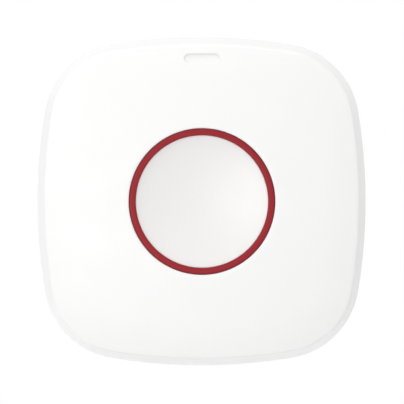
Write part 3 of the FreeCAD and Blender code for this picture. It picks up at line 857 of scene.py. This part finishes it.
raised = [prism("bay", circle(bay_radius + bay_wall), raised_back, bay_front)]
hollow = [prism("bay hollow", circle(bay_radius), rear_back - PAST, bay_front + PAST)]
for x in (-screw_offset, screw_offset):
    raised.append(pocket("pocket", x, pocket_radius + pocket_wall, raised_back, pocket_front + pocket_wall))
    hollow.append(pocket("pocket hollow", x, pocket_radius, rear_back - PAST, pocket_front))

# %% Hook slots and the contact's notch
hook_offset = 12.0
hook_heights = (14.5, -19.0)
wall_hook_width = 6.0
stem_height = 1.4
slot_side_gap = 0.3
slot_top_gap = 0.1
notch_width = 5.8
notch_low = 8.25
notch_high = 13.45


def opening(width, x, low, high, front):
    """A cutter for an opening in the floor, between its lower and its upper edge."""
    return block("opening", (width, high - low), (x, (low + high) / 2), (rear_back - PAST, front))


for x in (-hook_offset, hook_offset):
    for z in hook_heights:
        hollow.append(opening(wall_hook_width + 2 * slot_side_gap, x, z - release_travel - slot_side_gap,
                              z + stem_height + slot_top_gap, rear_front + HAIR))
hollow.append(opening(notch_width, 0, notch_low, notch_high, bay_front + PAST))

# %% Rear cover
nib_size = (1.35, 3.0)
nib_centre = (bay_radius + 0.175, 0)
nib_depths = (rear_back, 2.8)
nib_directions = (-125, -55)

rear = cut(added(swept("rear_shell", rear_section), *raised), *hollow)
rear = added(rear, *[block("nib", nib_size, nib_centre, nib_depths, degrees) for degrees in nib_directions])
settle(rear, "housing", "white_inner", "rear_cover")

# %% Wall plate
plate_inset = 6.2
plate_thickness = 2.0
plate_back_round = 0.15
plate_front_round = 0.4
screw_hole_radius = 2.1


def plate_section(angle):
    """The wall plate's section at one angle."""
    edge = outline_distance(angle, plate_inset)
    return rounded([(0, 0, 0), (edge, 0, plate_back_round), (edge, plate_thickness, plate_front_round),
                    (0, plate_thickness, 0)], 4)


holes = [prism("hole", circle(screw_hole_radius, x, 0, 64), -PAST, plate_thickness + PAST)
         for x in (-screw_offset, screw_offset)]
plate = cut(swept("mounting_plate", plate_section), *holes)

# %% Hooks of the wall plate
lip_back = 3.9
lip_front = 5.0
lip_reach = 3.0
tip_slope = 0.6


def wall_hook(x, z):
    """A hook that points up: a stem on the plate and a lip with a sloped tip."""
    root = plate_thickness - JOIN
    stem_top = z + stem_height
    tip = stem_top + lip_reach
    side_view = [(z, root), (z, lip_front), (tip, lip_front), (tip, lip_back + tip_slope),
                 (tip - tip_slope, lip_back), (stem_top, lip_back), (stem_top, root)]
    sides = (x - wall_hook_width / 2, x + wall_hook_width / 2)
    return netted("hook", [[at(across, height, depth) for height, depth in side_view] for across in sides])


plate = added(plate, *[wall_hook(x, z) for x in (-hook_offset, hook_offset) for z in hook_heights])
settle(plate, "wall_mount", "white_inner", "wall_plate")

# %% [markdown]
# Shader groups
#
# Several materials share the same effects, so each effect is a node group with named
# inputs and outputs, built once. "Moulded grain" is the faint eroded texture that a
# steel mould leaves on plastic: fine noise that lifts the surface and shifts its tone a
# little. "Handling sheen" is a broad, soft change of roughness, as skin and cleaning
# leave it. "Drawn metal" is a noise stretched along one direction, as rolling and
# drawing leave on sheet and wire.

# %% Node helpers
def preset(made, values):
    """Sets a node's own inputs to constant values."""
    for name, value in values.items():
        made.inputs[name].default_value = value
    return made


def node(tree, kind, values=None, **settings):
    """Adds a node to a tree, with its settings and the values of its inputs."""
    made = tree.nodes.new(kind)
    for name, value in settings.items():
        setattr(made, name, value)
    return preset(made, values or {})


def connect(tree, *links):
    """Links nodes in a tree: each link is a node, its output, a node and its input."""
    for source, output, target, socket in links:
        tree.links.new(source.outputs[output], target.inputs[socket])


def new_group(name, inputs, outputs):
    """A shader node group with named inputs, given with their values, and outputs."""
    group = bpy.data.node_groups.new(name, "ShaderNodeTree")
    for socket, value in inputs.items():
        kind = "NodeSocketColor" if isinstance(value, tuple) else "NodeSocketFloat"
        made = group.interface.new_socket(socket, in_out="INPUT", socket_type=kind)
        made.default_value = value
    for socket, kind in outputs.items():
        group.interface.new_socket(socket, in_out="OUTPUT", socket_type=kind)
    return group, group.nodes.new("NodeGroupInput"), group.nodes.new("NodeGroupOutput")


def placed(tree, *targets):
    """Feeds the piece's own coordinates to each of the nodes."""
    place = node(tree, "ShaderNodeTexCoord")
    connect(tree, *[(place, "Object", target, "Vector") for target in targets])


def sized_noise(group, source, **values):
    """A noise whose scale follows the group's input for a feature's size in millimetres."""
    turns = node(group, "ShaderNodeMath", {0: 1 / MM}, operation="DIVIDE")
    noise = node(group, "ShaderNodeTexNoise", values)
    connect(group, (source, "Size", turns, 1), (turns, 0, noise, "Scale"))
    return noise


def toned(group, source, shade, output, target):
    """Hands on a tone between the group's light and dark colours, chosen by a shade."""
    tone = node(group, "ShaderNodeMix", data_type="RGBA")
    connect(group, (shade, output, tone, "Factor"), (source, "Light", tone, "A"),
            (source, "Dark", tone, "B"), (tone, "Result", target, "Color"))


# %% Moulded grain
colour_and_height = {"Color": "NodeSocketColor", "Height": "NodeSocketFloat"}
grain_group, grain_in, grain_out = new_group(
    "moulded grain", {"Size": 0.15, "Light": (0.86, 0.86, 0.86, 1), "Dark": (0.82, 0.82, 0.82, 1)},
    colour_and_height)
fine = sized_noise(grain_group, grain_in, Detail=3.0, Roughness=0.6)
broad = node(grain_group, "ShaderNodeTexNoise", {"Scale": 90.0, "Detail": 2.0})
blend = node(grain_group, "ShaderNodeMath", {1: 0.35}, operation="MULTIPLY_ADD")
placed(grain_group, fine, broad)
connect(grain_group, (fine, "Fac", blend, 0), (broad, "Fac", blend, 2), (fine, "Fac", grain_out, "Height"))
toned(grain_group, grain_in, blend, 0, grain_out)

# %% Handling sheen
sheen_group, sheen_in, sheen_out = new_group(
    "handling sheen", {"Smoothest": 0.35, "Roughest": 0.5}, {"Roughness": "NodeSocketFloat"})
patches = node(sheen_group, "ShaderNodeTexNoise", {"Scale": 160.0, "Detail": 4.0, "Roughness": 0.55})
between = node(sheen_group, "ShaderNodeMapRange", {"From Min": 0.3, "From Max": 0.7})
placed(sheen_group, patches)
connect(sheen_group, (patches, "Fac", between, "Value"), (sheen_in, "Smoothest", between, "To Min"),
        (sheen_in, "Roughest", between, "To Max"), (between, "Result", sheen_out, "Roughness"))

# %% Drawn metal
metal_group, metal_in, metal_out = new_group(
    "drawn metal", {"Size": 0.08, "Light": (0.6, 0.6, 0.6, 1), "Dark": (0.45, 0.45, 0.45, 1)},
    colour_and_height)
stretch = node(metal_group, "ShaderNodeMapping", {"Scale": (0.05, 1.0, 1.0)})
streaks = sized_noise(metal_group, metal_in, Detail=4.0, Roughness=0.65)
placed(metal_group, stretch)
connect(metal_group, (stretch, "Vector", streaks, "Vector"), (streaks, "Fac", metal_out, "Height"))
toned(metal_group, metal_in, streaks, "Fac", metal_out)

# %% [markdown]
# Materials
#
# Two makers build the materials. A plastic takes its colour and bump from the moulded
# grain and its roughness from the handling sheen. A metal takes colour and bump from the
# drawn metal. What is the same all over a surface, such as metalness, is set on the
# shader itself. Grain, streaks and bumps are in millimetres.

# %% Material makers
def new_material(name):
    """An empty node material, its tree and its shader."""
    material = bpy.data.materials.new(name)
    material.use_nodes = True
    return material, material.node_tree, material.node_tree.nodes["Principled BSDF"]


def bumped(tree, shader, source, output, height, strength=1.0):
    """Bends the shader's normal by a node's output, up to a height in millimetres."""
    bump = node(tree, "ShaderNodeBump", {"Strength": strength, "Distance": height * MM})
    connect(tree, (source, output, bump, "Height"), (bump, "Normal", shader, "Normal"))


def textured(name, group, light, dark, size, bump):
    """A material whose colour and bump come from a group, with its tree and shader."""
    material, tree, shader = new_material(name)
    look = node(tree, "ShaderNodeGroup", {"Size": size, "Light": (*light, 1), "Dark": (*dark, 1)},
                node_tree=group)
    connect(tree, (look, "Color", shader, "Base Color"))
    bumped(tree, shader, look, "Height", bump)
    return material, tree, shader


def plastic(name, light, dark, roughness, grain, bump, specular=0.5):
    """A moulded plastic, its roughness given from the smoothest to the roughest."""
    material, tree, shader = textured(name, grain_group, light, dark, grain, bump)
    sheen = node(tree, "ShaderNodeGroup", node_tree=sheen_group)
    preset(sheen, dict(zip(("Smoothest", "Roughest"), roughness)))
    connect(tree, (sheen, "Roughness", shader, "Roughness"))
    preset(shader, {"Specular IOR Level": specular})
    return material


def metal(name, light, dark, roughness, streak, bump):
    """A rolled or drawn metal."""
    material, _, shader = textured(name, metal_group, light, dark, streak, bump)
    preset(shader, {"Metallic": 1.0, "Roughness": roughness})
    return material


# %% [markdown]
# Each row of the two tables gives a name, a light and a dark colour, the roughness, the
# size of the grain or the streaks, and the height of the bump. The red has one more
# number, a specular level below the usual, because the ring looks deep and hardly shines.

# %% Plastics
plastics = {
    "white_shell": ("satin white", (0.87, 0.87, 0.865), (0.85, 0.85, 0.845), (0.36, 0.46), 0.16, 0.003),
    # The cap's colour is set darker and pinker than the shell's white: painted shade of its sunken dish and
    # painted pink bounce light from the red ring.
    "white_cap": ("smooth white with painted shade", (0.82, 0.809, 0.797), (0.80, 0.789, 0.777), (0.28, 0.34), 0.12, 0.0015),
    "red_plastic": ("red ring", (0.30, 0.008, 0.016), (0.27, 0.006, 0.013), (0.36, 0.46), 0.14, 0.002, 0.25),
    "white_inner": ("inner white", (0.8, 0.8, 0.79), (0.76, 0.76, 0.75), (0.45, 0.6), 0.3, 0.008),
    "grey_inner": ("inner grey", (0.32, 0.32, 0.33), (0.28, 0.28, 0.29), (0.45, 0.6), 0.3, 0.008),
    "black_plastic": ("chip black", (0.022, 0.022, 0.023), (0.014, 0.014, 0.015), (0.5, 0.65), 0.06, 0.006),
    "lamp_plastic": ("lamp lens", (0.8, 0.79, 0.7), (0.76, 0.75, 0.66), (0.15, 0.25), 0.3, 0.001),
    "tan_ceramic": ("tan ceramic", (0.36, 0.26, 0.16), (0.3, 0.21, 0.12), (0.5, 0.6), 0.1, 0.004),
}
finishes = {slot: plastic(*row) for slot, row in plastics.items()}

# %% Metals
metals = {
    "spring_steel": ("spring steel", (0.62, 0.61, 0.6), (0.5, 0.49, 0.48), 0.28, 0.08, 0.002),
    "screw_steel": ("zinc plate", (0.58, 0.58, 0.6), (0.48, 0.48, 0.5), 0.36, 0.1, 0.003),
    "tinned_metal": ("tin plate", (0.66, 0.65, 0.62), (0.56, 0.55, 0.52), 0.32, 0.12, 0.003),
    "cell_steel": ("nickel plate", (0.64, 0.63, 0.6), (0.54, 0.53, 0.5), 0.24, 0.1, 0.002),
}
finishes.update({slot: metal(*row) for slot, row in metals.items()})

# %% [markdown]
# The window is milky: light goes some way in and comes back. A full volume would be
# slow and noisy on so small a piece, so the colour stays that of the milk and a clear
# coat on top gives the polish.

# %% Milky window
milky, _, shader = textured("milky window", grain_group, (0.88, 0.88, 0.875), (0.85, 0.85, 0.845), 0.4, 0.001)
preset(shader, {"Roughness": 0.3, "Coat Weight": 0.4, "Coat Roughness": 0.08})
finishes["clear_window"] = milky

# %% [markdown]
# The circuit board is green lacquer over copper. The copper lies a little higher and
# shows through as a lighter green, in tracks that run square to the board, so a brick
# pattern of long thin cells draws them.

# %% Circuit board
board, tree, shader = new_material("board lacquer")
turn = node(tree, "ShaderNodeMapping", {"Rotation": (math.radians(90), 0, 0)})
tracks = node(tree, "ShaderNodeTexBrick", {
    "Color1": (0.012, 0.11, 0.045, 1), "Color2": (0.016, 0.14, 0.055, 1), "Mortar": (0.03, 0.22, 0.09, 1),
    "Scale": 300.0, "Mortar Size": 0.03, "Brick Width": 1.3, "Row Height": 0.4})
placed(tree, turn)
connect(tree, (turn, "Vector", tracks, "Vector"), (tracks, "Color", shader, "Base Color"))
preset(shader, {"Roughness": 0.3})
bumped(tree, shader, tracks, "Fac", height=0.02, strength=0.6)
finishes["board_green"] = board

# %% Give every piece its finish
slot_of = {row["node"]: row["material_slot"] for row in frame["record"]["subparts"]}


def paint(piece, material):
    """Makes a material the only one of a piece."""
    if not piece.material_slots:
        piece.data.materials.append(material)
    for place in piece.material_slots:
        place.material = material


for name, piece in frame["nodes"].items():
    paint(piece, finishes[slot_of[name]])
for piece in (shell, window, carrier, cap, coil, dome, rear, plate):
    paint(piece, finishes[piece["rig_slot"]])
print("finishes:", len(finishes))

# %% [markdown]
# Floor, light and camera
#
# The photograph shows the button straight on, on pure white, in a bright and very soft
# light. The white comes from the world, for camera rays and for what mirrors and gloss
# see, and not from more light on the plastic: for everything else the world is dimmer.
# Four soft lamps shape the rest. The key, far to the left, gives the slow fall of light
# across the crown. The top lamp brightens the upper edge. The softbox, just left of the
# camera, is mirrored as a broad glow in the right half of the dish. The rear lamp stands
# where the wall would be, so that the unit can be looked at from behind too.
#
# The button hangs on a wall, so the floor lies well below it, and it can be seen only
# from above.

# %% World
def ray_choice(tree, *kinds):
    """A node whose value is one for rays of these kinds and none for all others."""
    path = node(tree, "ShaderNodeLightPath")
    chosen, output = path, kinds[0]
    for kind in kinds[1:]:
        either = node(tree, "ShaderNodeMath", operation="MAXIMUM")
        connect(tree, (chosen, output, either, 0), (path, kind, either, 1))
        chosen, output = either, 0
    return chosen


world = bpy.data.worlds.new("studio")
bpy.context.scene.world = world
world.use_nodes = True
tree = world.node_tree
tree.nodes.clear()
room = node(tree, "ShaderNodeBackground", {"Color": (1, 1, 1, 1), "Strength": 0.8})
white = node(tree, "ShaderNodeBackground", {"Color": (1, 1, 1, 1), "Strength": 1.0})
seen = ray_choice(tree, "Is Camera Ray", "Is Glossy Ray", "Is Transmission Ray")
choose = node(tree, "ShaderNodeMixShader")
output = node(tree, "ShaderNodeOutputWorld")
connect(tree, (seen, 0, choose, "Fac"), (room, 0, choose, 1), (white, 0, choose, 2),
        (choose, 0, output, "Surface"))

# %% Floor
floor_drop = 0.15
floor_size = 8.0
floor_corners = [(x, y, -floor_drop) for x, y in rectangle(floor_size, floor_size)]
floor_mesh = bpy.data.meshes.new("floor")
floor_mesh.from_pydata(floor_corners, [], [(0, 1, 2, 3)])
floor = new_object("floor", floor_mesh)

floor_paint = bpy.data.materials.new("floor paint")
floor_paint.use_nodes = True
tree = floor_paint.node_tree
tree.nodes.clear()
matt = node(tree, "ShaderNodeBsdfDiffuse", {"Color": (0.79, 0.79, 0.79, 1)})
glow = node(tree, "ShaderNodeEmission", {"Color": (1, 1, 1, 1)})
seen = ray_choice(tree, "Is Camera Ray", "Is Glossy Ray")
lift = node(tree, "ShaderNodeMath", {1: 0.35}, operation="MULTIPLY")
both = node(tree, "ShaderNodeAddShader")
side = node(tree, "ShaderNodeNewGeometry")
clear = node(tree, "ShaderNodeBsdfTransparent")
choose = node(tree, "ShaderNodeMixShader")
output = node(tree, "ShaderNodeOutputMaterial")
connect(tree, (seen, 0, lift, 0), (lift, 0, glow, "Strength"), (matt, 0, both, 0), (glow, 0, both, 1),
        (side, "Backfacing", choose, "Fac"), (both, 0, choose, 1), (clear, 0, choose, 2),
        (choose, 0, output, "Surface"))
floor.data.materials.append(floor_paint)

# %% Lamps
def soft_lamp(name, level, distance, off_axis, raised, size):
    """A round soft lamp that lights a facing surface to a level, aimed at the button."""
    lamp = bpy.data.lights.new(name, "AREA")
    lamp.shape = "DISK"
    lamp.size = size
    lamp.energy = level * math.pi ** 2 * distance ** 2
    holder = new_object(name, lamp)
    across = math.sin(math.radians(off_axis))
    holder.location = distance * Vector((-across * math.cos(math.radians(raised)),
                                         -math.cos(math.radians(off_axis)),
                                         across * math.sin(math.radians(raised))))
    holder.rotation_mode = "QUATERNION"
    holder.rotation_quaternion = (-holder.location).to_track_quat("-Z", "Y")


soft_lamp("key", level=0.17, distance=0.8, off_axis=72, raised=20, size=0.4)
soft_lamp("top", level=0.255, distance=0.8, off_axis=74, raised=94, size=0.4)
soft_lamp("softbox", level=0.18, distance=0.8, off_axis=16, raised=-14, size=0.3)
soft_lamp("rear", level=0.2, distance=1.2, off_axis=180, raised=0, size=0.12)

# %% [markdown]
# The photograph is 404 pixels wide and the housing's 62 mm fill 328.2 of them. The ring
# stands in front of the outline, and its middle is seen about half a pixel to the right
# of the outline's and a third of a pixel below it. So the camera stands 14 mm to the
# left and 11 mm up, at three metres. It looks at the point that is in the middle of the
# photograph, which is less than a pixel away from the button's axis.

# %% Camera
photo_width = 404
housing_pixels = 328.2
pixel = 2 * half_width * MM / housing_pixels
aim = Vector((0.42 * pixel, 0, -0.78 * pixel))
camera_distance = 3.0
camera_left = 13.8
camera_up = 10.8
camera_data = bpy.data.cameras.new("camera")
camera_data.sensor_width = 36.0
camera_data.lens = camera_data.sensor_width * camera_distance / (photo_width * pixel)
camera_data.clip_start = 0.1
camera_data.clip_end = 20.0
camera = new_object("camera", camera_data)
camera.location = aim + Vector((-camera_left * MM, -camera_distance, camera_up * MM))
camera.rotation_euler = (aim - camera.location).to_track_quat("-Z", "Y").to_euler()
bpy.context.scene.camera = camera
bpy.context.scene.view_settings.view_transform = "Standard"
print("lens", round(camera_data.lens), "mm")
